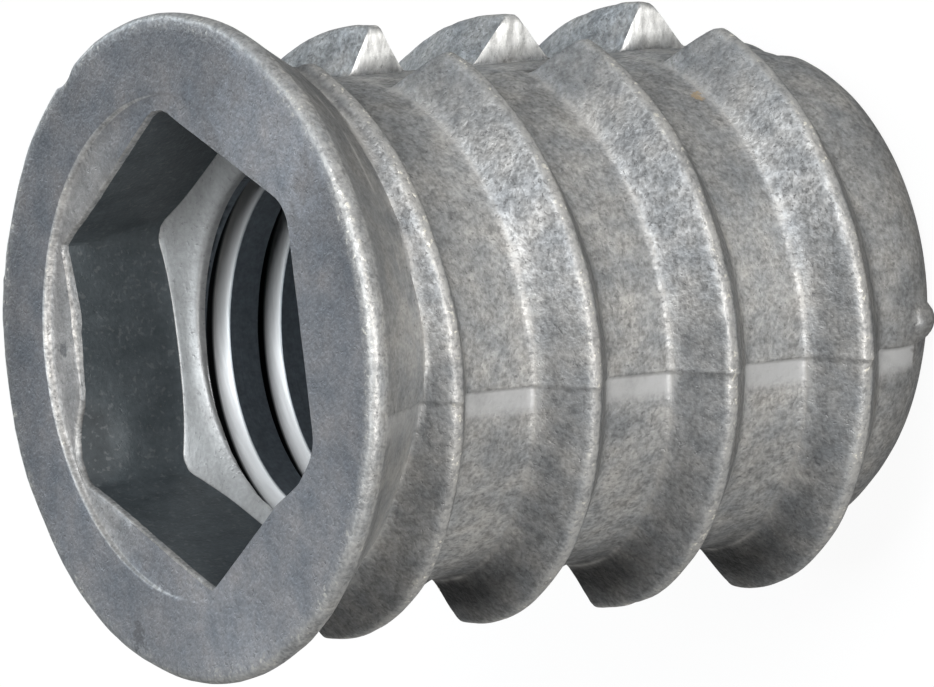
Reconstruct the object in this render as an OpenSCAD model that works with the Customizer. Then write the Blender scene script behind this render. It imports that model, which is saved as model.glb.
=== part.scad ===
// Threaded insert for wood, die cast in one piece.
// It screws into a drilled hole with a hexagon key and gives a metal thread for a machine screw.
// The part stands on its tail end: the origin is the centre of that end, +Z points up to the
// flange's face, and two corners of the hexagon socket lie on the X axis. Millimetres.

/* [Overall] */
// Length from the tail end to the flange's face
length = 18.2; // [14:0.1:26]
// Diameter of the flange
flange_d = 16; // [13.2:0.1:20]

/* [Machine screw] */
// Nominal diameter of the machine screw that the insert takes
screw_d = 10; // [9.4:0.1:12]
// How much narrower than the screw the cored hole is, which the machine thread is tapped in
tap_less = 1.1; // [0.9:0.05:2.2]
// Wall between the machine thread and the valleys of the wood thread
wall = 1.13; // [0.9:0.01:1.6]
// Bevel at the tail end of the tapped hole
tap_bevel = 0.5; // [0.2:0.05:0.7]

/* [Flange] */
// Thickness of the straight rim
rim_t = 0.4; // [0.2:0.05:0.8]
// Bevel round both edges of the rim
rim_bevel = 0.08; // [0.02:0.01:0.09]
// Angle between the tapered underside and the part's axis
under_angle = 37; // [30:1:50]
// Depth of the gate mark broken into the rim
gate_depth = 0.22; // [0.1:0.01:0.35]
// Radius of the gate mark
gate_r = 0.6; // [0.4:0.05:1]
// Direction of the gate mark from +X
gate_angle = 29; // [0:1:359]

/* [Hexagon socket] */
// Size across the flats, a 10 mm key with play
hex_af = 10.1; // [8.4:0.05:12.2]
// Depth of the socket at its corners
socket_depth = 2.85; // [2.4:0.05:4]
// Slope of the socket's cone floor towards the hole
floor_angle = 20; // [8:1:30]
// Least wall outside the socket's corners
socket_wall = 0.3; // [0.2:0.05:0.6]
// Width of the ring between the socket's corners and the edge of the round recess
recess_ring = 0.4; // [0.3:0.05:0.6]
// Depth of the round recess at the socket's mouth
recess_depth = 0.2; // [0.1:0.05:0.3]

/* [Wood thread] */
// Pitch of the coarse right-hand thread
wood_pitch = 4; // [3.3:0.1:5]
// Height of the thread above the body
thread_h = 1.18; // [0.9:0.01:1.45]
// Length along the axis of the flank that faces the flange
upper_flank = 0.92; // [0.6:0.01:1.15]
// Length along the axis of the thread's crest
crest_w = 0.27; // [0.15:0.01:0.4]
// Length along the axis of the flank that faces the tail
lower_flank = 0.96; // [0.6:0.01:1.2]
// Rounding of the crest's two corners
crest_round = 0.1; // [0.05:0.01:0.12]
// Height of the crest's lower corner above the tail end, where the thread starts
thread_start = 2.1; // [1.8:0.05:3]
// How much lower the thread is at its start
lead_drop = 0.14; // [0:0.01:0.3]
// Turn over which the thread grows to its full height, in degrees
lead_turn = 70; // [30:5:120]

/* [Slots and tail] */
// Width of the two slots that cut through the thread, at the body's surface
slot_w = 1.8; // [1.4:0.1:3]
// How far the clockwise side of each slot, seen from above, leans out at the crest
slot_lean = 0.8; // [0:0.05:1.2]
// Direction of the first slot from +X, with the second one opposite
slot_angle = -15.3; // [-90:0.1:90]
// Radius of the rounded tail
tail_round = 2.1; // [1.6:0.1:3]
// Ring left round the machine thread at the tail end
tail_ring = 0.3; // [0.2:0.05:0.6]
// Radius of the nub of flash at the tail
nub_r = 0.5; // [0.4:0.05:0.6]
// Height of the nub above the rounded tail
nub_h = 0.25; // [0.1:0.05:0.3]
// Direction of the nub from +X, on the mould's parting line
nub_angle = -102; // [-180:1:180]

/* [Hidden] */

cast_zinc = [0.53, 0.54, 0.56];

flange_r = flange_d / 2;
hole_r = (screw_d - tap_less) / 2;           // cored hole
root_r = screw_d / 2 + wall;                 // valleys of the wood thread
crest_r = root_r + thread_h;
hex_r = hex_af / 2 / cos(30);                // corners of the hexagon
wide_neck = hex_r + socket_wall > root_r + 0.02;           // else the body is straight up to the flange
neck_r = wide_neck ? hex_r + socket_wall : root_r;         // body round the socket
recess_r = hex_r + recess_ring;
floor_drop = (hex_r - hole_r) * tan(floor_angle);
floor_z = length - socket_depth;

// height of the tapered underside between two radii
function taper_h(r_out, r_in) = max(0, r_out - r_in) / tan(under_angle);
neck_z = length - rim_t - taper_h(flange_r, neck_r);   // lower end of the underside
socket_end = floor_z - floor_drop - socket_wall;       // a wide neck reaches below the floor
neck_end = min(neck_z, socket_end);

tail_r = screw_d / 2 + tail_ring;
tail_in = root_r - tail_r;                   // how far the rounding draws in
tail_h = sqrt(pow(tail_round, 2) - pow(tail_round - tail_in, 2));
nub_tilt = 34;                               // direction of the nub below level
arc_steps = 10;

// points of the rounded tail, from the end face up to the body
function tail_arc() =
    let (reach = asin(tail_h / tail_round))
    [for (i = [0:arc_steps]) let (a = reach * (1 - i / arc_steps))
        [root_r - tail_round * (1 - cos(a)), tail_h - tail_round * sin(a)]];

// flange, neck, body and tail in one turned outline
module turned_body()
    rotate_extrude($fn = 96)
        polygon(concat([[0, 0]], tail_arc(), wide_neck ? [
            [root_r, neck_end - taper_h(neck_r, root_r)],
            [neck_r, neck_end]
        ] : [], [
            [neck_r, neck_z],
            [flange_r - rim_bevel, length - rim_t - rim_bevel / tan(under_angle)],
            [flange_r, length - rim_t + rim_bevel],
            [flange_r, length - rim_bevel],
            [flange_r - rim_bevel, length],
            [0, length]
        ]));

// --- coarse thread for wood ---

embed = 0.2;                                 // how deep the thread's foot sits in the body
turn_step = 6;                               // degrees between two sections
start_turn = slot_angle - 180;               // the thread starts at the slot's middle
// it dies into the underside, or below the face where the flange is narrow
end_z = min(length - rim_t - taper_h(flange_r, crest_r), length - crest_w - upper_flank);
end_turn = start_turn + 360 * (end_z - thread_start) / wood_pitch;
run_count = ceil((end_turn - start_turn) / 180);

// section of the thread as [height above the body, height above the crest's lower corner]
sunk = 1 + embed / thread_h;                 // the flanks run on down into the body
thread_section = [
    [-embed, crest_w + upper_flank * sunk],
    [thread_h - crest_round, crest_w + crest_round * upper_flank / thread_h],
    [thread_h, crest_w - crest_round],
    [thread_h, crest_round],
    [thread_h - crest_round, -crest_round * lower_flank / thread_h],
    [-embed, -lower_flank * sunk]
];

function lead(turn) = lead_drop / thread_h * pow(1 - min(1, (turn - start_turn) / lead_turn), 2);

// angles from a slot's middle to its two sides, at radius r: a square one and a leaning one
function square_side(r) = asin(slot_w / 2 / r);
function leaning_side(r) = asin((slot_w / 2 + slot_lean * (r - root_r) / thread_h) / r);

// one corner of the section, a share t of the way along a run between two slots
function thread_point(corner, from, to, open_end, t) =
    let (
        full_r = root_r + corner[0],
        first = from + square_side(full_r),
        last = to - (open_end ? 0 : leaning_side(full_r)),
        turn = first + (last - first) * t,
        r = corner[0] > 0 ? root_r + corner[0] * (1 - lead(turn)) : full_r,
        z = thread_start + wood_pitch * (turn - start_turn) / 360 + corner[1]
    )
    [r * cos(turn), r * sin(turn), z];

// the thread from one slot to the next, with end faces in the planes of the slots' walls
module thread_run(from, to, open_end) {
    steps = ceil((to - from) / turn_step);
    n = len(thread_section);
    points = [for (s = [0:steps], corner = thread_section)
        thread_point(corner, from, to, open_end, s / steps)];
    sides = [for (s = [0:steps - 1], c = [0:n - 1])
        let (d = (c + 1) % n, a = s * n, b = a + n)
        each [[a + c, b + c, a + d], [a + d, b + c, b + d]]];
    start_face = [for (c = [0:n - 1]) c];
    end_face = [for (c = [0:n - 1]) steps * n + n - 1 - c];
    polyhedron(points, concat(sides, [start_face, end_face]));
}

module wood_thread()
    for (i = [0:run_count - 1]) {
        from = start_turn + 180 * i;
        to = min(from + 180, end_turn);
        thread_run(from, to, to == end_turn);
    }

// --- what is cut away ---

// hexagon socket with a cone floor, and the shallow round recess at its mouth
module socket() {
    intersection() {
        translate([0, 0, floor_z - floor_drop])
            cylinder(h = socket_depth + floor_drop + 1, r = hex_r, $fn = 6);
        rotate_extrude($fn = 96)
            polygon([
                [0, floor_z - floor_drop],
                [hole_r, floor_z - floor_drop],
                [hex_r, floor_z],
                [hex_r + 1, floor_z],
                [hex_r + 1, length + 2],
                [0, length + 2]
            ]);
    }
    translate([0, 0, length - recess_depth])
        cylinder(h = 2 * recess_depth, r1 = recess_r - recess_depth, r2 = recess_r + recess_depth,
            $fn = 96);
}

module tapped_hole() {
    translate([0, 0, -1])
        cylinder(h = length + 1, r = hole_r, $fn = 96);
    translate([0, 0, -tap_bevel])
        cylinder(h = 2 * tap_bevel, r1 = hole_r + 2 * tap_bevel, r2 = hole_r, $fn = 96);
}

// the mark where the casting was broken from its runner
module gate_mark()
    rotate([0, 0, gate_angle])
        translate([flange_r + gate_r - gate_depth, 0, neck_z])
            cylinder(h = length - neck_z + 1, r = gate_r, $fn = 48);

// a nub of flash where the mould's halves meet at the tail
module flash_nub()
    rotate([0, 0, nub_angle])
        translate([
            root_r - tail_round + (tail_round - nub_r + nub_h) * cos(nub_tilt),
            0,
            tail_h - (tail_round - nub_r + nub_h) * sin(nub_tilt)
        ])
            sphere(r = nub_r, $fn = 32);

module insert()
    color(cast_zinc)
        difference() {
            union() {
                turned_body();
                wood_thread();
                flash_nub();
            }
            socket();
            tapped_hole();
            gate_mark();
        }

insert();
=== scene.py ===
import math
import bmesh
import bpy
import numpy as np
from mathutils import Matrix, Vector


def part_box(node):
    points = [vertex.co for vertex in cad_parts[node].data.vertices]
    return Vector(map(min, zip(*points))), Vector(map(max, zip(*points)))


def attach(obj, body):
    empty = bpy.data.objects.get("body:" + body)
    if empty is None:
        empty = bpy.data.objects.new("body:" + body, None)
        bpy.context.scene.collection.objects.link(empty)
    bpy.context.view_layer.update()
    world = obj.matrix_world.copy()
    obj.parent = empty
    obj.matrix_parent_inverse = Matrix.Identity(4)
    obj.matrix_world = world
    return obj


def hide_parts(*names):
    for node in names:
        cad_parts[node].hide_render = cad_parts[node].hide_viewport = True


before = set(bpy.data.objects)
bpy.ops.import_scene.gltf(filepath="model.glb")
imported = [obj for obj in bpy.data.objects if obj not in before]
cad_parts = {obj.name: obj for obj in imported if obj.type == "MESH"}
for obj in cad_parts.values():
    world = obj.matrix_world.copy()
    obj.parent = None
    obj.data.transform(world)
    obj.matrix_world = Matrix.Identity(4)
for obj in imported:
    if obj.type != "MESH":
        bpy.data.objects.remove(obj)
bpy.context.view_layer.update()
scene = bpy.context.scene
scene.view_settings.view_transform = "Standard"

lowCorner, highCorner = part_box("insert")
length = (highCorner.z - lowCorner.z) * 1000          # millimetres, from the tail end to the flange's face
flangeRadius = (highCorner.x - lowCorner.x) * 500
print("frame loaded: length %.2f mm, flange radius %.2f mm" % (length, flangeRadius))


# --- the casting's form, in millimetres and degrees ---

casting = {
    "rootRadius": 6.13,          # body between the turns of the wood thread
    "holeRadius": 4.45,          # tops of the machine thread
    "rimHeight": 0.4,            # straight part of the flange's edge
    "rimRound": 0.22,            # the face's edge, worn round
    "rimWornAngle": -88.0,       # where it is rubbed brightest
    "undersideAngle": 41.0,      # between the cone under the flange and the axis, in the second half
    "undersideChange": -8.5,     # what the first half of the mould adds to it
    "tailRound": 2.1,
    "tailRing": 5.3,             # outer radius of the flat end
    "tapBevel": 0.5,
    "seamAngle": -108.0,         # where the mould's halves met on the body, and opposite
    "seamLean": 0.7,             # degrees that the seam comes round over the thread's height
    "seamStep": 0.04,            # the second half stands lower along the seam
    "seamFade": 12.0,            # degrees over which that step dies out
    "flash": 0.012,              # thin ridge beside the seam
    "halfShift": (-0.03, 0.03),  # how far the second half's mould stood off
    "tailDraw": 0.07,            # and how much smaller it is at the tail
    "rimOver": 0.045,            # the flange is a little over size there
    "slotSink": 0.15,            # the slots' floors fall a little towards the tail
    "gateAngle": 29.0,
    "gateRadius": 0.75,
    "gateDepth": 0.24,
    "tabAngle": -26.0,           # flap of flash beside the first slot
    "tabSpan": 4.6,
    "tabHeight": 9.45,
    "tabHalf": 0.40,
    "tabLift": 0.09,
    "nubAngle": -103.0,
    "nubRadius": 0.56,
    "nubHeight": 0.27,
    "nubTilt": 34.0,             # degrees below level
    "waveHeights": (0.010, 0.0045),    # long and short waves in the skin
    "waveLimit": 0.022,
    "nickDepth": 0.022,          # on worn edges
}

woodThread = {
    "pitch": 4.0,
    "height": 1.18,
    "upperFlank": 0.92,          # axial lengths
    "crestWidth": 0.27,
    "lowerFlank": 0.96,
    "flankChange": 0.035,        # the tail-side flank grows shorter towards the flange
    "slotPull": 0.40,            # the flanks are shorter beside the first slot, on every other turn
    "crestRound": 0.12,
    "footRound": 0.13,
    "startAngle": -195.3,
    "startHeight": 2.1,
    "leadDrop": 0.14,
    "leadTurn": 70.0,
    "slotAngle": -15.3,          # middle of the first slot
    "squareSide": 8.4,           # degrees from the middle to the upright wall, at the body
    "squareLean": 1.9,           # the wall stays parallel to the slot, so the crest comes nearer
    "rampSide": 8.5,             # degrees from the middle to the foot of the sloping wall
    "rampSpan": 5.4,             # degrees that the sloping wall takes to reach the crest
}

machineThread = {
    "pitch": 1.5,
    "phaseHeight": 13.896,       # lower edge of a groove at the phase angle
    "phaseAngle": 88.22,
    "grooveWidth": 0.70,
    "grooveRadius": 5.0,
    "grooveFlat": 0.10,
}

socket = {
    "acrossFlats": 10.1,
    "depth": 2.85,
    "floorAngle": 20.0,
    "recessRadius": 6.12,
    "recessDepth": 0.2,          # at its deepest side
    "recessAngle": 82.0,
    "recessFlush": 0.06,         # cosine of the angle from there at which it comes flush
    "mouthFlare": 0.08,          # the socket's corners are broken out on the deep side
    "chipAngle": 110.0,          # a longer chip beside one corner
    "chipWidth": 0.52,
    "lipAngle": 74.0,            # where the wall's upper edge is crushed down
    "lipDepth": 0.12,
    "lean": (0.18, 0.0),         # how far the socket's floor stands off its mouth
    "cornerRise": 0.13,          # the floor is higher in the socket's corners
    "floorDrop": 0.10,           # the floor is deeper on one side
    "floorDeepAngle": 66.0,
    "cornerRounds": {0: 0.14, 240: 0.10, 300: 0.12},     # mouth's blunted corners
    "secondChip": (229.0, 0.18),
}


holeRadius = casting["holeRadius"]


def softMax(a, b, reach):
    # the larger of two heights; where they are nearer than the reach, plus (reach - gap)^2 / (4 reach)
    gap = np.maximum(reach - np.abs(a - b), 0)
    return np.maximum(a, b) + gap * gap / (4 * reach)


def softMin(a, b, reach):
    return -softMax(-a, -b, reach)


def easeStep(start, end, x):
    # 0 before the start, 1 after the end, 3t^2 - 2t^3 between
    t = np.clip((x - start) / (end - start), 0, 1)
    return t * t * (3 - 2 * t)


def down(*values):
    # numbers down the rows of a strip
    return np.array(values)[:, None]


def nearAngle(angle, centre, period=360.0):
    # signed distance in degrees from the nearest repeat of the centre
    return (angle - centre + period / 2) % period - period / 2


def castingAngles():
    # even columns, replaced by closer ones round each feature that needs them
    slot = woodThread["slotAngle"]
    wall = slot + woodThread["squareSide"]
    ramp = slot - woodThread["rampSide"] - 3
    besideWall = [-1.3, -0.6, -0.24, -0.12, -0.04, 0.04, 0.12, 0.3, 0.6, 1.0, 1.5, 2.3]
    besideSeam = [-6.4, -5.3, -4.3, -3.3, -2.4, -1.5, -0.8, -0.3, 0,
                  0.3, 0.7, 1.3, 2.2, 3.2, 4.2, 5.2, 6.2, 7.3]
    besideFarSeam = [-2.2, -1.2, -0.7, -0.3, 0, 0.3, 0.8, 1.5]
    besideCorner = [-1.8, -0.8, 0, 0.8, 1.8]
    besideRamp = np.arange(-5.4, 4.9, 0.9)
    close = [(wall, besideWall), (ramp, besideRamp), (wall + 180, besideWall), (ramp + 180, besideRamp)]
    close += [(casting["seamAngle"], besideSeam), (casting["seamAngle"] + 180, besideFarSeam)]
    close += [(corner, besideCorner) for corner in range(0, 360, 60)]
    close += [(casting["gateAngle"], np.arange(-4.9, 5, 0.7))]
    columns = np.arange(0, 360, 2.25)
    for centre, offsets in close:
        group = centre + np.array(offsets)
        middle, half = (group[0] + group[-1]) / 2, (group[-1] - group[0]) / 2
        columns = columns[np.abs(nearAngle(columns, middle)) > half + 0.3]
        columns = np.concatenate([columns, group])
    columns = np.unique(np.round(columns % 360, 4))
    return np.append(columns, columns[0] + 360)


def inSecondHalf(angle, width):
    # 0 in the mould's first half and 1 in the second, changing over a width in degrees at both seams
    past = nearAngle(angle, casting["seamAngle"] - 90)
    return easeStep(90 + width / 2, 90 - width / 2, np.abs(past))


def seamLift(angle):
    # ridge just before the seam, step down at it, and the step dying out behind it
    c = casting
    fromSeam = nearAngle(angle, c["seamAngle"], 180)
    atNear = np.abs(nearAngle(angle, c["seamAngle"])) < 90
    into = np.where(atNear, -fromSeam, fromSeam)
    faded = c["seamStep"] * np.exp(-np.maximum(into, 0) / c["seamFade"])
    step = np.where(into >= 0.15, -faded, 0.0)
    ridge = c["flash"] * np.exp(-((into + 0.35) / 0.5) ** 2)
    return step + ridge, into


def tailTop():
    # height where the tail's arc meets the body, from how far it has drawn in at the end
    drawnIn = casting["rootRadius"] - casting["tailRing"]
    return math.sqrt(casting["tailRound"] ** 2 - (casting["tailRound"] - drawnIn) ** 2)


def nubRadius(z, angle):
    # near side of a small ball sunk in the rounded tail
    c = casting
    reach = c["tailRound"] - c["nubRadius"] + c["nubHeight"]
    tilt = math.radians(c["nubTilt"])
    out = c["rootRadius"] - c["tailRound"] + reach * math.cos(tilt)
    up = tailTop() - reach * math.sin(tilt)
    side = np.radians(nearAngle(angle, c["nubAngle"]))
    left = c["nubRadius"] ** 2 - (z - up) ** 2 - (out * np.sin(side)) ** 2
    return np.where((left > 0) & (np.abs(side) < 1), out * np.cos(side) + np.sqrt(np.maximum(left, 0)), 0)


def undersideSlope(angle):
    # the mould's halves give the cone slightly different angles
    turned = casting["undersideAngle"] + casting["undersideChange"] * (1 - inSecondHalf(angle + 6, 34))
    return np.tan(np.radians(turned))


def outerRadius(z, angle):
    # body: cylinder, drawn in by the tail's arc and widened by the underside's cone.
    # thread: the lower of its two flanks, its crest and the slots' walls.
    # radius: the larger of body and thread, with fillets. Returns radius, share of thread height,
    # height above the crest's tail-side corner, the share where only the thread counts, and
    # how far this is the flange's cone
    w, c = woodThread, casting
    root = c["rootRadius"]
    sunk = np.clip(tailTop() - z, 0, c["tailRound"])
    body = root - c["tailRound"] + np.sqrt(c["tailRound"] ** 2 - sunk ** 2)
    slotNear = np.abs(nearAngle(angle, w["slotAngle"], 180))
    body = body - c["slotSink"] * easeStep(4.5, 1.2, z) * easeStep(9.5, 7.0, slotNear)
    body = body - c["tailDraw"] * easeStep(1.6, 0.2, z) * inSecondHalf(angle, 24)
    body = softMax(body, nubRadius(z, angle), 0.05)
    cone = flangeRadius - (length - c["rimHeight"] - z) * undersideSlope(angle)
    body = softMax(body, cone, 0.2)
    fromTab = np.abs(nearAngle(angle, c["tabAngle"]))
    tab = easeStep(c["tabSpan"] + 1, c["tabSpan"], fromTab)
    tab = tab * easeStep(c["tabHalf"] + 0.12, c["tabHalf"], np.abs(z - c["tabHeight"]))
    body = body + c["tabLift"] * tab

    crestZ = w["startHeight"] + w["pitch"] * (angle - w["startAngle"]) / 360
    middleLand = (w["crestWidth"] + w["upperFlank"] + w["pitch"] - w["lowerFlank"]) / 2
    turn = np.floor((z - crestZ - middleLand) / w["pitch"] + 1)
    q = z - crestZ - w["pitch"] * turn
    turned = angle + 360 * turn - w["startAngle"]
    full = w["height"] - w["leadDrop"] * (1 - np.clip(turned / w["leadTurn"], 0, 1)) ** 2
    beside = nearAngle(angle, w["slotAngle"])
    behind = easeStep(26, 8, beside) * (beside > 0)
    every = 0.5 + 0.5 * np.cos(np.radians(turned - 188) / 2)
    foot = w["crestWidth"] + w["upperFlank"] - w["slotPull"] * behind * every
    crest = w["crestWidth"] * easeStep(0, 60, turned)
    upper = (foot - q) / (foot - crest) * w["height"]
    lowerFlank = w["lowerFlank"] + np.clip(w["flankChange"] * (11.2 - z), -0.2, 0.1)
    lowerFlank = lowerFlank - w["slotPull"] * 0.6 * behind * easeStep(10.3, 12.0, z)
    lower = (q + lowerFlank) / lowerFlank * w["height"]
    rise = softMin(softMin(upper, lower, 0.1), full, w["crestRound"])
    inSlot = nearAngle(angle, w["slotAngle"], 180)
    past = inSlot - w["squareSide"]
    steep = (past + 0.04) / 0.16 * 0.8 * w["height"]
    shoulder = (0.8 + 0.42 * np.sqrt(1 - (1 - np.clip((past - 0.12) / 2.4, 0, 1)) ** 2)) * w["height"]
    squareWall = np.where(past < 0.12, steep, shoulder)
    slopingWall = (-w["rampSide"] - inSlot) / w["rampSpan"] * w["height"]
    wall = np.where(inSlot > 0, squareWall, slopingWall)
    rise = softMin(rise, wall, np.where(inSlot > 0, 0.12, 0.4))
    rise = np.where(turned > 0, rise, -w["height"])
    rise = np.maximum(rise, -w["height"])
    radius = softMax(body, root + rise, w["footRound"])
    share = np.clip((radius - body) / w["height"], 0, 1)
    risen = np.clip(rise / w["height"], 0, 1) * easeStep(-0.06, 0.06, root + rise - body)
    radius = radius + seamLift(angle)[0] * easeStep(0.0, 0.3, z)
    onCone = easeStep(0.10, 0.4, cone - root) * easeStep(-0.3, 0.3, body - root - rise)
    return radius, share, q, risen, onCone


def squareShift(angle, share):
    # turns the upright wall's upper part towards the slot, less and less behind the wall
    inSlot = nearAngle(angle, woodThread["slotAngle"], 180) - woodThread["squareSide"]
    weight = np.where(inSlot > -1, 1 - easeStep(0, 8, inSlot), 0)
    return -woodThread["squareLean"] * share * weight


def seamShift(angle, radius):
    # the seam lies in a plane beside the axis, so it comes round as the radius grows
    grown = np.clip((radius - casting["rootRadius"]) / woodThread["height"], 0, 1.6)
    weight = 1 - easeStep(4, 16, np.abs(nearAngle(angle, casting["seamAngle"], 180)))
    return casting["seamLean"] * grown * weight


def helixRows(start, pitch, marks, low, high):
    # rows that follow a helix: the marks above its start at every turn, held between two level rings.
    # Of the rows that lie on one of those rings all the way round, one is kept at each end
    first = math.floor((low - start.max() - 2) / pitch)
    last = math.ceil((high - start.min() + 2) / pitch)
    offsets = np.concatenate([marks + pitch * turn for turn in range(first, last + 1)])
    z = np.clip(start[None, :] + offsets[:, None], low, high)
    keep = (z.max(axis=1) > low) & (z.min(axis=1) < high)
    first, last = np.argmax(keep), len(keep) - 1 - np.argmax(keep[::-1])
    keep[max(first - 1, 0)] = True
    keep[min(last + 1, len(keep) - 1)] = True
    return z[keep]


def grooveRadius(z, angle):
    # radius of the V groove at this height: out along one flank, flat, back along the other
    m = machineThread
    edge = m["phaseHeight"] + m["pitch"] * (angle - m["phaseAngle"]) / 360
    q = (z - edge) % m["pitch"]
    depth = m["grooveRadius"] - holeRadius
    flank = (m["grooveWidth"] - m["grooveFlat"]) / 2
    rise = np.minimum(q, m["grooveWidth"] - q) / flank * depth
    groove = holeRadius + softMin(rise, depth, 0.04)
    return groove, q


def hexRadius(angle, rounded=0.03):
    # half the size across flats, divided by the cosine from the flat's middle, with eased corners
    flat = nearAngle(angle, 30, 60)
    sharp = socket["acrossFlats"] / 2 / np.cos(np.radians(flat))
    ease = rounded * np.maximum(1 - np.abs(np.abs(flat) - 30) / 3.6, 0) ** 2
    return sharp - ease


angles = castingAngles()
around = angles[None, :]         # along the rows of a strip
bodyZone, flangeZone, wallZone, floorZone, threadZone = range(5)
# the foot mark is a painted highlight line on the body and painted black shade in the machine thread's roots
markNames = ("wear", "flank", "foot", "ring", "patch", "trim", "grime", "cone")


def band(z, radius, zone, **marks):
    # one strip of the surface: rows run along the profile, columns round the axis
    rows = np.broadcast_arrays(z, radius, around)
    strip = {"z": rows[0] * 1.0, "radius": rows[1] * 1.0, "angle": rows[2] * 1.0, "zone": zone}
    for name in markNames:
        value = marks.get(name, 0.0)
        strip[name] = np.broadcast_to(value, strip["z"].shape) * 1.0
    return strip


def woodThreadBand(low, high):
    # rows follow the helix, so each keeps its place on the thread's section
    w = woodThread
    crest, upper, lower = w["crestWidth"], w["crestWidth"] + w["upperFlank"], -w["lowerFlank"]
    marks = np.concatenate([
        np.linspace(lower - 0.30, lower + 0.22, 7),
        np.linspace(lower + 0.36, -0.16, 4),
        np.linspace(-0.10, 0.10, 5),
        np.linspace(0.17, crest + 0.12, 5),
        np.linspace(crest + 0.22, upper - 0.34, 5),
        upper + np.array([-0.24, -0.15, -0.09, -0.04, 0.02, 0.08, 0.18, 0.32]),
        np.linspace(upper + 0.55, w["pitch"] + lower - 0.48, 5),
    ])
    start = w["startHeight"] + w["pitch"] * (angles - w["startAngle"]) / 360
    z = helixRows(start, w["pitch"], marks, low, high)
    radius, share, q, risen, cone = outerRadius(z, around)
    wear = easeStep(0.94, 1.02, risen) * easeStep(-0.04, 0.06, q)
    flank = easeStep(0.12, 0.35, risen) * (1 - easeStep(0.85, 0.97, risen)) * (q > 0)
    # painted highlight: bright line at the flank's foot, and where the flank meets the cone
    foot = np.exp(-((q - upper + 0.04) / 0.045) ** 2) * (share < 0.3)
    valley = (4 * cone * (1 - cone)) ** 2 * (q > 0.1) * easeStep(0.02, -0.10, q - upper)
    foot = np.maximum(foot, valley)
    into = seamLift(around)[1] + 0 * z
    patch = easeStep(0.1, 0.4, into) * easeStep(7.5, 4.0, into) * easeStep(0.14, 0.05, share)
    patch = patch * (1 - 0.6 * cone)
    # painted shade: the second slot, the tail-side flank, a shadow line beside the flap of flash, and the
    # neck
    past = nearAngle(around, w["slotAngle"] - 180)
    grime = easeStep(52, 14, past) * easeStep(-9, 3, past) * easeStep(1.0, 0.35, share)
    grime = grime * easeStep(1.7, 0.3, q - upper) * easeStep(13.6, 12.0, z) * easeStep(low, low + 0.7, z)
    lee = easeStep(0.10, 0.25, share) * easeStep(0.02, -0.06, q) * 0.5
    line = np.exp(-(nearAngle(around, casting["tabAngle"] + 6.0) / 0.8) ** 2)
    line = line * easeStep(0.9, 0.7, np.abs(z - casting["tabHeight"] + 0.4))
    beside = nearAngle(around, w["slotAngle"])
    neck = easeStep(-80, -25, beside) * (beside < 0) * easeStep(13.0, 14.8, z)
    neck = neck * easeStep(0.5, 0.2, share) * 0.35
    grime = np.maximum(np.maximum(np.maximum(grime, lee), line), neck)
    inSlot = nearAngle(around, w["slotAngle"], 180) - w["squareSide"] + 0 * z
    trim = ((np.abs(inSlot - 0.04) < 0.10) & (share > 0.04)) * 1.0
    strip = band(z, radius, bodyZone, wear=wear, flank=flank, foot=foot, patch=patch, trim=trim,
                 grime=grime, cone=cone)
    strip["angle"] += squareShift(around, share) + seamShift(around, radius)
    return strip


def levelBand(heights):
    # level rings on the outer surface
    z = np.asarray(heights)[:, None]
    radius = outerRadius(z, around)[0]
    strip = band(z, radius, bodyZone)
    strip["angle"] += seamShift(around, radius)
    return strip


def rimBand(low):
    # cone, bevel, straight rim with the gate's mark, bevel, and the face's outer edge
    top, rimLow = length, length - casting["rimHeight"]
    slope = undersideSlope(around)
    coneZ = np.linspace(low, rimLow - 0.12, 4)[:, None]
    turned = np.radians(np.array([0, 22, 45, 68, 90]))
    reach = casting["rimRound"]
    lowEdge = rimLow + np.array([-0.05, 0.02, 0.09])
    rimZ = np.concatenate([lowEdge, top - reach + reach * np.sin(turned)])[:, None]
    drawn = np.concatenate([[0.052, 0.016, 0.003], reach * (1 - np.cos(turned))])
    rimRadius = flangeRadius - drawn[:, None]
    z = np.concatenate([coneZ, rimZ])
    coneRadius = flangeRadius - (rimLow - coneZ) * slope
    radius = np.concatenate([coneRadius, np.broadcast_to(rimRadius, (len(rimZ), len(angles)))])
    fromGate = np.radians(nearAngle(angles, casting["gateAngle"]))[None, :]
    centre = flangeRadius + casting["gateRadius"] - casting["gateDepth"]
    across = centre * np.sin(fromGate)
    inside = np.maximum(casting["gateRadius"] ** 2 - across ** 2, 0)
    bite = centre * np.cos(fromGate) - np.sqrt(inside)
    near = (np.abs(across) < casting["gateRadius"]) & (np.abs(fromGate) < 1)
    radius = np.where(near, softMin(radius, bite, 0.05), radius)
    turn = nearAngle(around, casting["rimWornAngle"])
    wear = np.exp(-((z - rimLow) / 0.09) ** 2) * 0.35
    wear = wear + easeStep(top - 0.24, top - 0.12, z) * (0.38 + 0.50 * np.exp(-(turn / 28) ** 2))
    into = seamLift(around)[1] + 0 * z
    patch = easeStep(0.1, 0.4, into) * easeStep(5.5, 3.0, into) * (z < rimLow) * 0.4
    strip = band(z, radius, flangeZone, wear=wear, patch=patch, cone=(z < rimLow - 0.1) * 1.0)
    strip["angle"] += seamShift(around, radius) * (z < length - 0.01)
    return strip


def faceBand():
    # flat ring between the rim and the recess, from outside in
    outer = flangeRadius - casting["rimRound"]
    inner = socket["recessRadius"] + 0.06
    radius = np.linspace(outer, inner, 9)[1:, None]
    wear = easeStep(outer - 0.25, outer, radius) * 0.4
    return band(np.full_like(radius, length), radius, flangeZone, wear=wear)


def recessDrop(angle):
    # depth of the recess: the greatest depth at its deepest side, less with the cosine from there
    flush = socket["recessFlush"]
    lean = (np.cos(np.radians(angle - socket["recessAngle"])) - flush) / (1 - flush)
    return socket["recessDepth"] * softMax(lean, 0, 0.2) * 0.98 + 0.003


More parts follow.
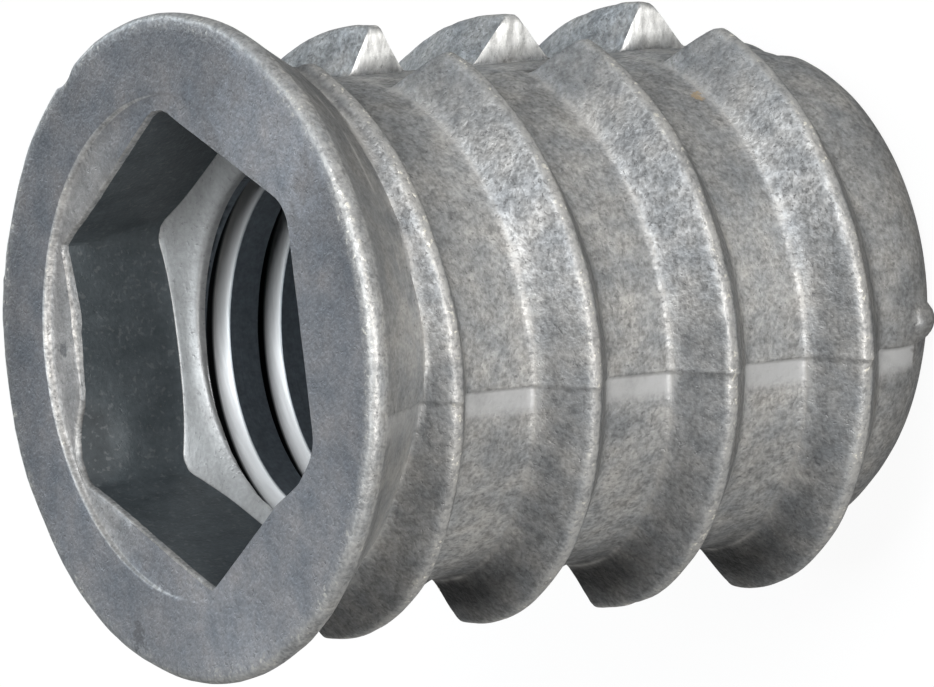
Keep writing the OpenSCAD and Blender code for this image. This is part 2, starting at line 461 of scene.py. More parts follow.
def mouthRadius(angle):
    # the socket's corners are broken out a little where the recess is deep, and a chip lies beside one
    corner = np.maximum(1 - np.abs(nearAngle(angle, 0, 60)) / 9, 0)
    deep = easeStep(0.10, 0.19, recessDrop(angle))
    past = nearAngle(angle, socket["chipAngle"])
    chip = socket["chipWidth"] * easeStep(-13, -1, past) * easeStep(12, 3, past)
    beside, deepest = socket["secondChip"]
    chip = chip + deepest * np.maximum(1 - np.abs(nearAngle(angle, beside)) / 10, 0)
    for cornerAngle, blunt in socket["cornerRounds"].items():
        chip = chip - blunt * np.maximum(1 - np.abs(nearAngle(angle, cornerAngle)) / 5, 0) ** 2
    ragged = 0.012 * deep * (np.sin(np.radians(angle * 23)) + np.sin(np.radians(angle * 41 + 50)))
    return hexRadius(angle) + socket["mouthFlare"] * corner * deep + chip + ragged


def lipDepth(angle):
    # how deep the wall's upper edge is worn: little, but crushed down in one place
    crushed = np.exp(-(nearAngle(angle, socket["lipAngle"]) / 12) ** 2)
    ragged = 0.012 * (np.sin(np.radians(angle * 29 + 20)) + np.sin(np.radians(angle * 47)))
    return 0.035 + (socket["lipDepth"] + ragged) * crushed + np.abs(ragged)


def recessBand():
    # rounded edge down into the shallow recess, its ring, and the socket's worn mouth
    drop = recessDrop(angles)[None, :]
    edge = socket["recessRadius"]
    mouth = mouthRadius(angles)[None, :]
    share = down(0.05, 0.22, 0.55, 0.88, 1.0)
    out = down(0.02, -0.015, -0.045, -0.075, -0.11)
    wide = 0.75 - 0.5 * drop
    edgeWear = down(0.1, 0.75, 0.0, 0.0, 0.0) * easeStep(0.09, 0.18, drop)
    wall = down(0.0, 0.2, 0.85, 1.0, 1.0) * easeStep(0.06, 0.15, drop)
    upper = band(length - drop * share, edge + out * wide, flangeZone, wear=edgeWear, ring=wall)
    share = down(0.35, 0.7, 1.0)
    radius = (edge - 0.11) * (1 - share) + (mouth + 0.04) * share
    radius = np.minimum(radius, edge - 0.11 * wide - 0.01 * share)
    ringZ = length - drop - 0.02 * share * (drop > 0.1)
    ring = band(ringZ, radius, flangeZone, ring=easeStep(0.06, 0.15, drop))
    share = down(0.12, 0.45, 1.0)
    inward = down(0.03, 0.008, 0.0)
    lipZ = length - drop - 0.02 - lipDepth(angles)[None, :] * share
    lip = band(lipZ, np.minimum(mouth + inward, edge - 0.12), flangeZone,
               wear=down(0.2, 0.2, 0.0), ring=down(1.0, 0.8, 0.0))
    return [upper, ring, lip]


def floorHeight(radius):
    # cone floor of the socket, falling towards the hole and a little towards one side
    corner = socket["acrossFlats"] / 2 / math.cos(math.radians(30))
    uneven = np.clip((radius - holeRadius - 0.3) / 1.08, 0, 1)
    fromDeep = np.radians(around - socket["floorDeepAngle"])
    drop = socket["floorDrop"] * (1 + np.cos(fromDeep)) * uneven
    drop = drop - socket["cornerRise"] * np.clip((radius - socket["acrossFlats"] / 2) / 0.78, 0, 1) ** 2
    return length - socket["depth"] - drop - (corner - radius) * math.tan(math.radians(socket["floorAngle"]))


def socketBands():
    # six upright walls, then the cone floor in to the hole's rounded edge
    mouth = hexRadius(angles)[None, :]
    opened = np.minimum(mouthRadius(angles)[None, :], socket["recessRadius"] - 0.12) - mouth
    top = length - recessDrop(angles)[None, :] - 0.02 - lipDepth(angles)[None, :]
    low = hexRadius(angles, 0.13)[None, :]
    bottom = floorHeight(low)
    share = down(0.04, 0.12, 0.22, 0.36, 0.52, 0.7, 0.88)
    flare = opened * np.maximum(1 - share / 0.45, 0) ** 1.3
    wallZ = top * (1 - share) + (bottom + 0.10) * share
    # painted shade on the broken-out corners
    walls = band(wallZ, mouth * (1 - share) + low * share + flare, wallZone,
                 grime=easeStep(0.01, 0.15, flare))
    inward = down(0.0, 0.008, 0.025)
    upward = down(0.022, 0.007, 0.0)
    fillet = band(floorHeight(low - inward) + upward, low - inward, floorZone)
    inner = holeRadius + 0.30
    share = down(0.1, 0.35, 0.65, 1.0)
    radius = (low - 0.08) * (1 - share) + inner * share
    floor = band(floorHeight(radius), radius, floorZone)
    return [walls, fillet, floor]


def holeEdgeBand(low):
    # rounded edge between floor and hole, which the top groove runs out through; its foot mark paints
    # black shade on the thread's first faces, whose upper vertices it shares
    edgeZ = floorHeight(holeRadius)
    radius = holeRadius + down(0.22, 0.15, 0.09, 0.045, 0.018, 0.004, 0, 0)
    upper = floorHeight(radius[:3]) - down(0.0, 0.004, 0.015)
    lower = edgeZ + down(-0.015, -0.05, -0.09, -0.14)
    z = np.concatenate([upper, lower, np.full_like(edgeZ, low)])
    groove = grooveRadius(z, around)[0]
    return band(z, np.maximum(radius, groove), floorZone, foot=1.0)


def machineThreadBand(low, high):
    # rows follow the fine helix; groove flanks, lands and groove floor keep their own rows
    m = machineThread
    half, width = m["grooveFlat"] / 2, m["grooveWidth"]
    flank = width / 2 - half
    marks = np.array([-0.03, 0.0, 0.03, 0.06, flank * 0.72, flank * 0.84, flank + 0.01, width / 2,
                      width - flank - 0.02, width - flank + 0.03, width - 0.03, width, width + 0.03,
                      width + 0.3, width + 0.55])
    edge = m["phaseHeight"] + m["pitch"] * (angles - m["phaseAngle"]) / 360
    z = helixRows(edge, m["pitch"], marks, low, high)[::-1]
    groove, q = grooveRadius(z, around)
    radius = np.maximum(groove, holeRadius)
    cut = (radius - holeRadius) / (m["grooveRadius"] - holeRadius)
    flank = easeStep(0.0, 0.06, cut) * easeStep(0.84, 0.76, cut) * (q < width / 2)
    # the foot mark paints the groove's floor and its second flank black, as shade
    root = easeStep(0.76, 0.84, cut) + easeStep(0.02, 0.10, cut) * (q > width / 2)
    return band(z, radius, threadZone, flank=flank, foot=np.clip(root, 0, 1))


def tapBevelBand(high):
    # bevel at the tail end of the machine thread, cut through by the last groove
    z = down(high * 0.8, high * 0.6, high * 0.4, high * 0.2, 0.03, 0.0)
    radius = holeRadius + (high - z) * 1.1
    groove = grooveRadius(z, around)[0]
    cut = np.where(z > 0.02, softMax(radius, groove, 0.02), radius + 0.03)
    return band(z, cut, threadZone)


def tailBands(high):
    # flat end ring, its eased outer edge, and the rounded tail up to the thread's first ring
    inner = holeRadius + casting["tapBevel"] * 1.1 + 0.04
    edge = outerRadius(0.012 + 0 * angles, angles)[0][None, :] - 0.02
    share = down(0.3, 0.7, 1.0)
    ring = band(0.0, inner * (1 - share) + edge * share, bodyZone)
    heights = np.concatenate([[0.012, 0.04, 0.09], np.linspace(0.15, high, 10)])
    return [ring, levelBand(heights)]


def castingMesh():
    low, high, holeTop, holeLow = 0.85, length - 0.85, 14.60, casting["tapBevel"]
    strips = [woodThreadBand(low, high), rimBand(high), faceBand()]
    strips += recessBand() + socketBands()
    strips += [holeEdgeBand(holeTop), machineThreadBand(holeLow, holeTop), tapBevelBand(holeLow)]
    strips += tailBands(low)
    grid = {name: np.vstack([strip[name] for strip in strips])
            for name in ("z", "radius", "angle") + markNames}
    zones = np.concatenate([np.full(strip["z"].shape[0], strip["zone"]) for strip in strips])
    rows, columns = grid["z"].shape
    turn = np.radians(grid["angle"])
    points = np.stack([grid["radius"] * np.cos(turn), grid["radius"] * np.sin(turn), grid["z"]], axis=-1)
    # the second half of the mould stood a little aside
    onBody = (zones == bodyZone)[:, None]
    outside = np.isin(zones, (bodyZone, flangeZone))[:, None] * easeStep(6.2, 7.9, grid["radius"])
    outside = np.where((grid["z"] > length - 0.9) & ~onBody, outside, onBody * 1.0)
    outside = outside * easeStep(0.02, 0.4, grid["z"]) * inSecondHalf(grid["angle"], 1.2)
    points[..., 0] += casting["halfShift"][0] * outside
    points[..., 1] += casting["halfShift"][1] * outside
    rim = easeStep(length - 2, length - 0.5, grid["z"]) * outside * casting["rimOver"]
    points[..., :2] += rim[..., None] * np.stack([np.cos(turn), np.sin(turn)], axis=-1)
    # the socket's floor stands off its mouth
    inside = easeStep(length - 0.3, length - socket["depth"] - 0.2, grid["z"])
    inside = np.isin(zones, (wallZone, floorZone))[:, None] * inside
    inside = inside * easeStep(holeRadius + 0.1, holeRadius + 0.7, grid["radius"])
    points[..., 0] += socket["lean"][0] * inside
    points[..., 1] += socket["lean"][1] * inside
    index = np.arange(rows * columns).reshape(rows, columns)
    here, above = index, np.roll(index, -1, axis=0)
    faces = np.stack([here[:, :-1], here[:, 1:], above[:, 1:], above[:, :-1]], axis=-1).reshape(-1, 4)
    faceZone = np.repeat(zones, columns - 1)
    print("casting: %d rows, %d columns" % (rows, columns))

    mesh = bpy.data.meshes.new("threadedCasting")
    mesh.from_pydata((points.reshape(-1, 3) / 1000).tolist(), [], faces.tolist())
    for name in markNames:
        layer = mesh.attributes.new(name, "FLOAT", "POINT")
        layer.data.foreach_set("value", grid[name].reshape(-1).astype(np.float32))
    mesh.polygons.foreach_set("material_index", faceZone.astype(np.int32))
    work = bmesh.new()
    work.from_mesh(mesh)
    bmesh.ops.remove_doubles(work, verts=work.verts, dist=2e-6)
    bmesh.ops.dissolve_degenerate(work, dist=1e-7, edges=work.edges)
    bmesh.ops.recalc_face_normals(work, faces=work.faces)
    if work.calc_volume(signed=True) < 0:
        bmesh.ops.reverse_faces(work, faces=work.faces)
    openEdges = sum(1 for edge in work.edges if len(edge.link_faces) != 2)
    work.to_mesh(mesh)
    print("casting: %d faces, %d open edges, %.1f mm3" % (len(mesh.polygons), openEdges,
                                                         work.calc_volume() * 1e9))
    work.free()
    return mesh


def waveSum(points, shortest, longest, count, seed):
    # sum of plane waves in fixed pseudo-random directions, scaled to a spread of about one
    pick = np.random.default_rng(seed)
    ways = pick.normal(size=(count, 3))
    ways /= np.linalg.norm(ways, axis=1)[:, None]
    turns = 2 * math.pi / pick.uniform(shortest, longest, count)
    phases = pick.uniform(0, 2 * math.pi, count)
    return np.sin(points @ (ways * turns[:, None]).T + phases).sum(axis=1) / math.sqrt(count / 2)


def readFloats(items, name, width):
    values = np.zeros((len(items), width), dtype=np.float32)
    items.foreach_get(name, values.reshape(-1))
    return values


def unevenSurface(mesh):
    # slight waves over the whole skin, and nicks on the worn edges; the end that it stands on stays flat
    points = readFloats(mesh.vertices, "co", 3) * 1000
    normals = readFloats(mesh.vertices, "normal", 3)
    worn = readFloats(mesh.attributes["wear"].data, "value", 1)[:, 0]
    radius = np.hypot(points[:, 0], points[:, 1])
    outside = easeStep(5.2, 5.7, radius)
    long, short = casting["waveHeights"]
    waves = long * waveSum(points, 2.0, 4.5, 28, 11) + short * waveSum(points, 0.8, 1.5, 40, 12)
    waves = np.clip(waves, -casting["waveLimit"], casting["waveLimit"])
    nicks = np.maximum(waveSum(points, 0.45, 1.0, 48, 13) - 0.75, 0) * casting["nickDepth"] * worn
    amount = (waves * (0.35 + 0.65 * outside) - nicks) * easeStep(0.0, 0.5, points[:, 2])
    amount = np.where(points[:, 2] > length - 0.05, np.minimum(amount * 0.5, 0), amount)
    moved = points + normals * amount[:, None]
    mesh.vertices.foreach_set("co", (moved / 1000).astype(np.float32).reshape(-1))
    mesh.update()


def addObject(name, data):
    made = bpy.data.objects.new(name, data)
    scene.collection.objects.link(made)
    return made


insertMesh = castingMesh()
unevenSurface(insertMesh)
insert = addObject("threadedCasting", insertMesh)
insertMesh.polygons.foreach_set("use_smooth", np.ones(len(insertMesh.polygons), dtype=bool))
insertMesh.set_sharp_from_angle(angle=math.radians(50))
print("casting built")


# --- finishes ---

finish = {
    "faceCool": (0.148, 0.158, 0.174, 1),     # flange's face, bluer and redder patches
    "faceWarm": (0.164, 0.158, 0.159, 1),
    "coolSkin": (0.262, 0.272, 0.280, 1),     # body, cooler patches
    "warmSkin": (0.285, 0.278, 0.266, 1),     # body, warmer patches
    "stain": (0.085, 0.085, 0.088, 1),        # stains and pores
    "rubbed": (0.360, 0.352, 0.338, 1),       # worn crests and rim, and painted highlight lines at the flanks' feet
    "glint": (0.800, 0.770, 0.690, 1),        # bright specks on them
    "seamPatch": (0.410, 0.412, 0.415, 1),    # smooth strips along the seam
    "trimmed": (0.850, 0.845, 0.825, 1),      # sheared faces of the slots
    "ring": (0.222, 0.215, 0.207, 1),         # recess at the socket's mouth
    "slate": (0.040, 0.049, 0.054, 1),        # walls of the socket, painted dark as the shade inside it
    "slateLight": (0.078, 0.090, 0.097, 1),
    "innerLand": (0.110, 0.128, 0.145, 1),    # tops of the machine thread
    "floorSkin": (0.392, 0.395, 0.392, 1),    # cone floor of the socket
    "cutMetal": (0.930, 0.940, 0.940, 1),     # flanks of the machine thread
    "amber": (0.420, 0.310, 0.180, 1),        # one yellow speck of dirt
    "root": (0.012, 0.014, 0.016, 1),         # bottom of the machine thread, painted black as shade
    "skinRoughness": 0.50,
    "skinMetallic": 0.4,
    "driftScale": 260.0,                      # scales of the skin's noise, per metre
    "cloudScale": 1000.0,
    "grainScales": (3400.0, 9500.0),
    "speckScale": 7000.0,
    "poreScale": 7500.0,
    "polished": ((4.4, -4.6, length), 2.6),   # centre and reach of a place on the face painted lighter, as painted light
    "spots": (                                # centre, reach and colour of each spot
        ((-6.68, 3.45, length), 0.36, "stain"),
        ((0.42, 5.60, length - 0.2), 0.20, "stain"),
        ((4.71, -3.92, 5.16), 0.18, "amber"),
    ),
}


def setInput(tree, target, value):
    # a socket is linked to the input, anything else is the input's value
    if isinstance(value, bpy.types.NodeSocket):
        tree.links.new(value, target)
    else:
        target.default_value = value


def addNode(tree, kind, settings=None, **inputs):
    # one node; its inputs are given by name, or by number as in0, in1
    made = tree.nodes.new(kind)
    for name, value in (settings or {}).items():
        setattr(made, name, value)
    for name, value in inputs.items():
        setInput(tree, made.inputs[int(name[2:]) if name.startswith("in") else name], value)
    return made


def addMath(tree, operation, first, *others, clamp=False):
    # the operation on the first value and each of the others in turn
    result = first
    for other in others:
        settings = {"operation": operation, "use_clamp": clamp}
        result = addNode(tree, "ShaderNodeMath", settings, in0=result, in1=other).outputs[0]
    return result


def addProduct(tree, *values, clamp=False):
    return addMath(tree, "MULTIPLY", *values, clamp=clamp)


def addSum(tree, *values):
    return addMath(tree, "ADD", *values)


def addRange(tree, value, low, high, outLow=0.0, outHigh=1.0, kind="SMOOTHSTEP"):
    made = addNode(tree, "ShaderNodeMapRange", {"interpolation_type": kind},
                   in0=value, in1=low, in2=high, in3=outLow, in4=outHigh)
    return made.outputs[0]


def addLinear(tree, value, low, high, outLow=0.0, outHigh=1.0):
    return addRange(tree, value, low, high, outLow, outHigh, "LINEAR")


def addBetween(tree, value, low, high):
    # runs from low to high as the value runs from 0 to 1
    return addLinear(tree, value, 0.0, 1.0, low, high)


def addMix(tree, factor, a, b, blend="MIX"):
    settings = {"data_type": "RGBA", "blend_type": blend}
    return addNode(tree, "ShaderNodeMix", settings, in0=factor, in6=a, in7=b).outputs[2]


def addShade(tree, colour, value, low, high):
    # colour times a grey that runs from low to high with the value
    return addMix(tree, 1.0, colour, addBetween(tree, value, low, high), "MULTIPLY")


def addNoise(tree, place, scale, detail, roughness, distortion=0.0):
    made = addNode(tree, "ShaderNodeTexNoise", Vector=place, Scale=scale, Detail=detail,
                   Roughness=roughness, Distortion=distortion)
    return made.outputs["Fac"]


def addMark(tree, name):
    settings = {"attribute_type": "GEOMETRY", "attribute_name": name}
    return addNode(tree, "ShaderNodeAttribute", settings).outputs["Fac"]


def addPlace(tree):
    return addNode(tree, "ShaderNodeTexCoord").outputs["Object"]


def addAxes(tree, vector):
    return addNode(tree, "ShaderNodeSeparateXYZ", Vector=vector).outputs


def addStretched(tree, place, scale, turned=(0.0, 0.0, 0.0)):
    return addNode(tree, "ShaderNodeMapping", Vector=place, Scale=scale, Rotation=turned).outputs[0]


def addSpot(tree, place, grain, centre, reach):
    # ragged spot: 1 within about the reach (millimetres) of the centre, changed by the grain
    centre = tuple(number / 1000 for number in centre)
    away = addNode(tree, "ShaderNodeVectorMath", {"operation": "DISTANCE"}, in0=place, in1=centre)
    ragged = addProduct(tree, addMath(tree, "SUBTRACT", grain, 0.5), reach / 1000)
    return addRange(tree, addSum(tree, away.outputs["Value"], ragged), reach / 1000, reach / 2000)


def castSkinGroup():
    # skin of cast zinc: broad drift, clouds and fine grain, each about 0.5 on average,
    # then specks, pores and height
    group = bpy.data.node_groups.new("castSkin", "ShaderNodeTree")
    place = addPlace(group)
    drift = addNoise(group, place, finish["driftScale"], 2.0, 0.5)
    clouds = addNoise(group, place, finish["cloudScale"], 3.0, 0.6)
    middle, fine = (addNoise(group, place, scale, 2.0, 0.6) for scale in finish["grainScales"])
    mixed = addSum(group, addProduct(group, middle, 0.45), addProduct(group, fine, 0.55))
    specks = addNoise(group, place, finish["speckScale"], 2.0, 0.5)
    pores = addRange(group, addNoise(group, place, finish["poreScale"], 3.0, 0.6, 0.3), 0.40, 0.31)
    values = {
        "Drift": addLinear(group, drift, 0.33, 0.67),
        "Clouds": addLinear(group, clouds, 0.30, 0.70),
        "Grain": addLinear(group, mixed, 0.36, 0.64),
        "Specks": addRange(group, specks, 0.58, 0.70),
        "Pores": pores,
        "Height": addMath(group, "SUBTRACT", mixed, addProduct(group, pores, 0.3)),
    }
    for name in values:
        group.interface.new_socket(name, in_out="OUTPUT", socket_type="NodeSocketFloat")
    output = group.nodes.new("NodeGroupOutput")
    for name, value in values.items():
        group.links.new(value, output.inputs[name])
    return group


castSkin = castSkinGroup()


def newMaterial(name):
    material = bpy.data.materials.new(name)
    material.use_nodes = True
    tree = material.node_tree
    skin = tree.nodes.new("ShaderNodeGroup")
    skin.node_tree = castSkin
    return material, tree, tree.nodes["Principled BSDF"], skin.outputs


def setSurface(tree, shader, colour, roughness, metallic):
    for name, value in (("Base Color", colour), ("Roughness", roughness), ("Metallic", metallic)):
        setInput(tree, shader.inputs[name], value)


def addBump(tree, shader, height, distance, strength):
    bump = addNode(tree, "ShaderNodeBump", Height=height, Distance=distance, Strength=strength)
    tree.links.new(bump.outputs[0], shader.inputs["Normal"])


def castZincMaterial():
    # body and flange: mottled skin, smoother by the seam, bare on rubbed edges and sheared faces, with
    # painted shade, painted light and painted highlight lines
    material, tree, shader, skin = newMaterial("castZinc")
    names = ("wear", "trim", "patch", "flank", "foot", "ring", "cone", "grime")
    wear, trim, patch, flank, foot, ring, cone, grime = (addMark(tree, name) for name in names)
    clouds, grain = skin["Clouds"], skin["Grain"]
    place = addPlace(tree)
    axes = addAxes(tree, place)
    height = axes["Z"]
    facing = addAxes(tree, addNode(tree, "ShaderNodeNewGeometry").outputs["Normal"])["Z"]
    onFace = addRange(tree, facing, 0.90, 0.985)

    # painted light on the face: its shade is 1.05 - 30x - (5000y + 12.5)y, in metres, and one place is
    # painted lighter
    across = addProduct(tree, addSum(tree, addProduct(tree, axes["Y"], 5000.0), 12.5), axes["Y"])
    lighter = addMath(tree, "SUBTRACT", addProduct(tree, axes["X"], -30.0), across)
    polished = addProduct(tree, addSpot(tree, place, clouds, *finish["polished"]), 0.44)
    face = addMix(tree, clouds, finish["faceCool"], finish["faceWarm"])
    face = addMix(tree, 1.0, face, addSum(tree, lighter, polished, 1.05), "MULTIPLY")
    colour = addMix(tree, clouds, finish["coolSkin"], finish["warmSkin"])
    colour = addMix(tree, onFace, colour, face)
    colour = addMix(tree, addProduct(tree, ring, 0.8), colour, finish["ring"])

    # grain is calmer on face and cone; painted shade darkens the cone up to the rim, and painted light
    # lightens it towards -X; flanks get painted shade, most in front near x = 0.5 mm and towards the tail;
    # the tail gets painted shade too
    calm = addProduct(tree, addMath(tree, "MAXIMUM", onFace, cone), 0.45)
    calmed = addSum(tree, grain, addProduct(tree, addMath(tree, "SUBTRACT", 0.5, grain), calm))
    aside = addMath(tree, "ABSOLUTE", addMath(tree, "SUBTRACT", axes["X"], 0.0005), 0.0)
    inFront = addMath(tree, "LESS_THAN", axes["Y"], 0.0)
    front = addProduct(tree, addRange(tree, aside, 0.0034, 0.0008), inFront)
    shades = (
        (calmed, 0.62, 1.38),
        (clouds, 0.82, 1.18),
        (skin["Drift"], 0.88, 1.12),
        (addProduct(tree, cone, addLinear(tree, height, 0.0158, 0.0177)), 1.0, 0.62),
        (addProduct(tree, cone, addLinear(tree, axes["X"], 0.004, -0.007)), 1.0, 1.35),
        (addProduct(tree, flank, front, addLinear(tree, height, 0.012, 0.003)), 1.0, 0.68),
        (addProduct(tree, flank, addLinear(tree, height, 0.014, 0.002)), 1.0, 0.93),
        (flank, 1.0, 0.74),
        (addLinear(tree, height, 0.003, 0.0), 1.0, 0.62),
    )
    for value, low, high in shades:
        colour = addShade(tree, colour, value, low, high)

    # pores, smooth strips, painted shade, then painted highlight lines, rubbed places and their specks
    colour = addMix(tree, addProduct(tree, skin["Pores"], 0.45), colour, finish["stain"])
    smooth = addProduct(tree, patch, addLinear(tree, clouds, 0.2, 0.8, 0.55, 1.0))
    colour = addMix(tree, smooth, colour, finish["seamPatch"])
    # painted shade in the second slot, on tail-side flanks, beside the flap of flash and at the neck
    colour = addShade(tree, colour, grime, 1.0, 0.16)
    line = addProduct(tree, foot, addLinear(tree, clouds, 0.30, 0.70, 0.25, 0.9))
    colour = addMix(tree, line, colour, finish["rubbed"])
    rubbed = addProduct(tree, wear, addLinear(tree, grain, 0.2, 0.8, 0.3, 0.9), clamp=True)
    colour = addMix(tree, rubbed, colour, finish["rubbed"])
    glint = addProduct(tree, skin["Specks"], addLinear(tree, clouds, 0.3, 0.7, 0.1, 1.3))
    glint = addProduct(tree, wear, glint, clamp=True)
    colour = addMix(tree, glint, colour, finish["glint"])
    slanted = addStretched(tree, place, (1.0, 1.0, 3.0), (0.0, 0.5, 0.0))
    scratches = addLinear(tree, addNoise(tree, slanted, 1800.0, 3.0, 0.6), 0.35, 0.60)
    colour = addMix(tree, trim, colour, addShade(tree, finish["trimmed"], scratches, 0.55, 1.08))
    for centre, reach, name in finish["spots"]:
        spot = addProduct(tree, addSpot(tree, place, grain, centre, reach), 0.7)
        colour = addMix(tree, spot, colour, finish[name])

    rough = addBetween(tree, grain, finish["skinRoughness"] + 0.08, finish["skinRoughness"] - 0.08)
    rough = addMath(tree, "SUBTRACT", rough, addProduct(tree, glint, 0.15), addProduct(tree, trim, 0.25))
    metal = addSum(tree, finish["skinMetallic"], addProduct(tree, glint, 0.3))
    metal = addMath(tree, "SUBTRACT", metal, addProduct(tree, trim, 0.25), clamp=True)
    setSurface(tree, shader, colour, rough, metal)
    flattened = addProduct(tree, addMath(tree, "MAXIMUM", trim, patch), 0.7)
    kept = addMath(tree, "SUBTRACT", 1.0, flattened)
    addBump(tree, shader, addProduct(tree, skin["Height"], kept), 0.00007, 0.5)
    return material


def socketWallMaterial():
    # walls painted dark as the shade inside the socket, with faint upright drawing marks, and more painted
    # shade on the broken-out corners
    material, tree, shader, skin = newMaterial("socketWall")
    grime = addMark(tree, "grime")
    drawn = addStretched(tree, addPlace(tree), (1.0, 1.0, 0.25))
    streaks = addLinear(tree, addNoise(tree, drawn, 2200.0, 4.0, 0.6), 0.30, 0.70)
    both = addSum(tree, addProduct(tree, streaks, 0.4), addProduct(tree, skin["Clouds"], 0.6))
    colour = addMix(tree, both, finish["slate"], finish["slateLight"])
    colour = addShade(tree, colour, skin["Grain"], 0.85, 1.15)
    colour = addShade(tree, colour, grime, 1.0, 0.45)
    colour = addMix(tree, addProduct(tree, skin["Specks"], 0.10), colour, finish["floorSkin"])
    setSurface(tree, shader, colour, addBetween(tree, grime, 0.42, 0.8), addBetween(tree, grime, 0.4, 0.0))
    addBump(tree, shader, skin["Height"], 0.00005, 0.35)
    return material


def socketFloorMaterial():
    # pale cone floor with clouds and pores
    material, tree, shader, skin = newMaterial("socketFloor")
    colour = addMix(tree, addProduct(tree, skin["Clouds"], 0.45), finish["floorSkin"], finish["ring"])
    colour = addShade(tree, colour, skin["Grain"], 0.88, 1.12)
    colour = addMix(tree, addProduct(tree, skin["Pores"], 0.3), colour, finish["stain"])
    setSurface(tree, shader, colour, 0.45, 0.5)
    addBump(tree, shader, skin["Height"], 0.00005, 0.35)
    return material


def tappedThreadMaterial():
    # bright cut flanks with a painted highlight, dark lands, and roots painted black as shade; fine rings
    # follow the cut
    material, tree, shader, skin = newMaterial("tappedThread")
    flank = addMark(tree, "flank")
    place = addPlace(tree)
    flat = addStretched(tree, place, (0.12, 0.12, 3.0))
    rings = addLinear(tree, addNoise(tree, flat, 5000.0, 2.0, 0.5), 0.3, 0.7)
    cut = addShade(tree, finish["cutMetal"], rings, 0.88, 1.06)
    # painted highlight: the cut flanks are painted brighter towards -X and darker towards +X
    cut = addShade(tree, cut, addRange(tree, addAxes(tree, place)["X"], 0.0012, -0.0006), 0.74, 1.06)
    land = addShade(tree, finish["innerLand"], skin["Grain"], 0.8, 1.2)
    colour = addMix(tree, flank, land, cut)
    # painted shade: the roots are painted near black
    colour = addMix(tree, addMark(tree, "foot"), colour, finish["root"])
    setSurface(tree, shader, colour, addBetween(tree, rings, 0.42, 0.32), addBetween(tree, flank, 0.6, 0.45))
    addBump(tree, shader, rings, 0.00001, 0.3)
    return material


# one material for each zone, in order
castZinc = castZincMaterial()
for zoneMaterial in (castZinc, castZinc, socketWallMaterial(), socketFloorMaterial(), tappedThreadMaterial()):
    insertMesh.materials.append(zoneMaterial)
print("finishes made")

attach(insert, "root")
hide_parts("insert")


# --- floor, light and camera ---

studio = {
    "floorSize": 3.0,
    "worldLight": 0.03,
    "lightDistance": 0.5,
    "softLights": {              # azimuth, elevation, width in metres, watts, colour
        "softBoxFront": (-88, 12, 0.30, 1.55, (1.0, 0.985, 0.96)),
        "softBoxRight": (-112, 14, 0.30, 1.70, (1.0, 0.99, 0.975)),
        "softBoxHigh": (-56, 54, 0.30, 2.25, (0.94, 0.97, 1.0)),
        "softBoxFace": (0, 86, 0.30, 1.25, (0.90, 0.955, 1.0)),
        "softBoxBack": (60, 25, 0.30, 1.15, (0.82, 0.92, 1.0)),
    },
    "floorColour": (0.18, 0.175, 0.165, 1),
    "floorShown": (0.9, 0.9, 0.9, 1),   # to the camera
    "floorGlow": 0.93,           # share of plain white that the camera sees
    "floorGloss": 0.22,          # and that reflections see
    "cameraAzimuth": -91.778,    # degrees from +X to the camera
    "cameraElevation": 34.390,
    "cameraRoll": -95.829,       # the camera's up is nearly +X
    "cameraDistance": 0.333195,
    "cameraAim": (-0.000566, 0.000446, 0.009726),
    "lens": 529.8,
}


def direction(azimuth, elevation):
    # from the origin, with angles in degrees
    turn, rise = math.radians(azimuth), math.radians(elevation)
    return Vector((math.cos(rise) * math.cos(turn), math.cos(rise) * math.sin(turn), math.sin(rise)))


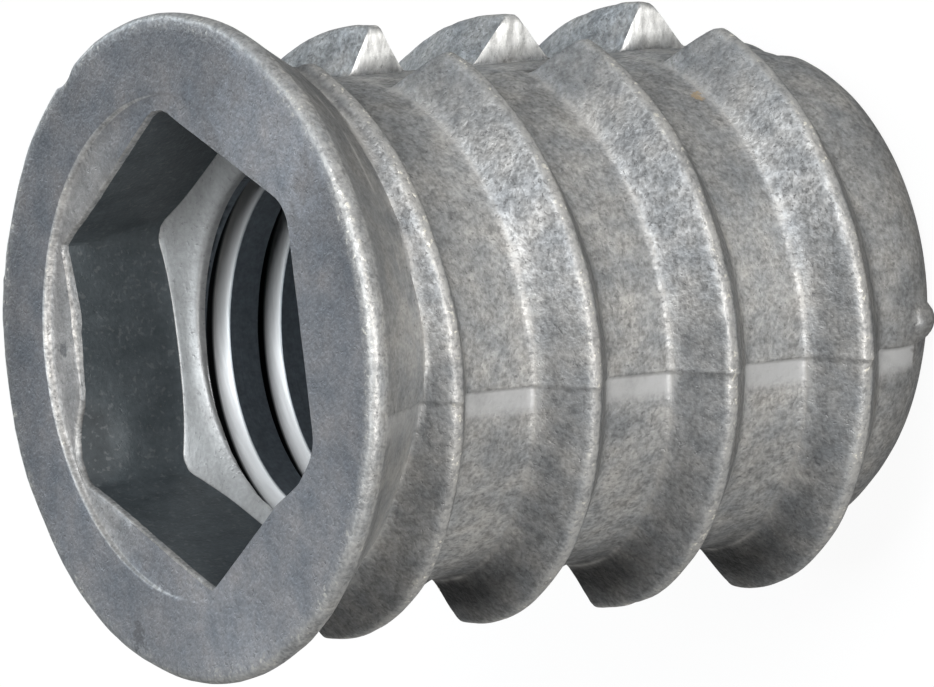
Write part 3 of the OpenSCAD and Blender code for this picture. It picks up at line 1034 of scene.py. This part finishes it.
def addFloor():
    # white to the camera, a weaker glow to reflections, and a plain dull floor to all else
    half = studio["floorSize"] / 2
    corners = [(-half, -half, 0), (half, -half, 0), (half, half, 0), (-half, half, 0)]
    mesh = bpy.data.meshes.new("studioFloor")
    mesh.from_pydata(corners, [], [(0, 1, 2, 3)])
    floor = addObject("studioFloor", mesh)
    material = bpy.data.materials.new("studioFloor")
    material.use_nodes = True
    tree = material.node_tree
    shader = tree.nodes["Principled BSDF"]
    ray = addNode(tree, "ShaderNodeLightPath").outputs
    shown = addMix(tree, ray["Is Camera Ray"], studio["floorColour"], studio["floorShown"])
    setInput(tree, shader.inputs["Base Color"], shown)
    setInput(tree, shader.inputs["Roughness"], 0.9)
    glow = addNode(tree, "ShaderNodeEmission", Strength=1.0)
    toCamera = addProduct(tree, ray["Is Camera Ray"], studio["floorGlow"])
    toGloss = addProduct(tree, ray["Is Glossy Ray"], studio["floorGloss"])
    mix = addNode(tree, "ShaderNodeMixShader", in0=addMath(tree, "MAXIMUM", toCamera, toGloss),
                  in1=shader.outputs[0], in2=glow.outputs[0])
    tree.links.new(mix.outputs[0], tree.nodes["Material Output"].inputs["Surface"])
    mesh.materials.append(material)


def addSoftLight(name, azimuth, elevation, size, power, colour):
    data = bpy.data.lights.new(name, "AREA")
    data.shape = "DISK"
    data.size = size
    data.energy = power
    data.color = colour
    lamp = addObject(name, data)
    away = direction(azimuth, elevation)
    middle = Vector((0, 0, length / 2000))
    turned = away.to_track_quat("Z", "Y").to_matrix().to_4x4()
    lamp.matrix_world = Matrix.Translation(middle + away * studio["lightDistance"]) @ turned


def addCamera():
    data = bpy.data.cameras.new("studioCamera")
    data.lens = studio["lens"]
    data.sensor_width = 36
    data.clip_start = 0.01
    data.clip_end = 10
    camera = addObject("studioCamera", data)
    back = direction(studio["cameraAzimuth"], studio["cameraElevation"])
    level = Vector((0, 0, 1)).cross(back).normalized()
    level.rotate(Matrix.Rotation(math.radians(studio["cameraRoll"]), 3, back))
    turned = Matrix((level, back.cross(level), back)).transposed().to_4x4()
    place = Vector(studio["cameraAim"]) + back * studio["cameraDistance"]
    camera.matrix_world = Matrix.Translation(place) @ turned
    scene.camera = camera


def addWorld():
    # plain white to the camera, and a faint light to all else
    white = (1, 1, 1, 1)
    world = bpy.data.worlds.new("studioWorld")
    scene.world = world
    world.use_nodes = True
    tree = world.node_tree
    light = tree.nodes["Background"]
    setInput(tree, light.inputs["Color"], white)
    setInput(tree, light.inputs["Strength"], studio["worldLight"])
    seen = addNode(tree, "ShaderNodeBackground", Color=white, Strength=1.0)
    ray = addNode(tree, "ShaderNodeLightPath").outputs
    mix = addNode(tree, "ShaderNodeMixShader", in0=ray["Is Camera Ray"], in1=light.outputs[0],
                  in2=seen.outputs[0])
    tree.links.new(mix.outputs[0], tree.nodes["World Output"].inputs["Surface"])


addFloor()
addWorld()
for name, (azimuth, elevation, size, power, colour) in studio["softLights"].items():
    addSoftLight(name, azimuth, elevation, size, power, colour)
addCamera()
print("studio set")
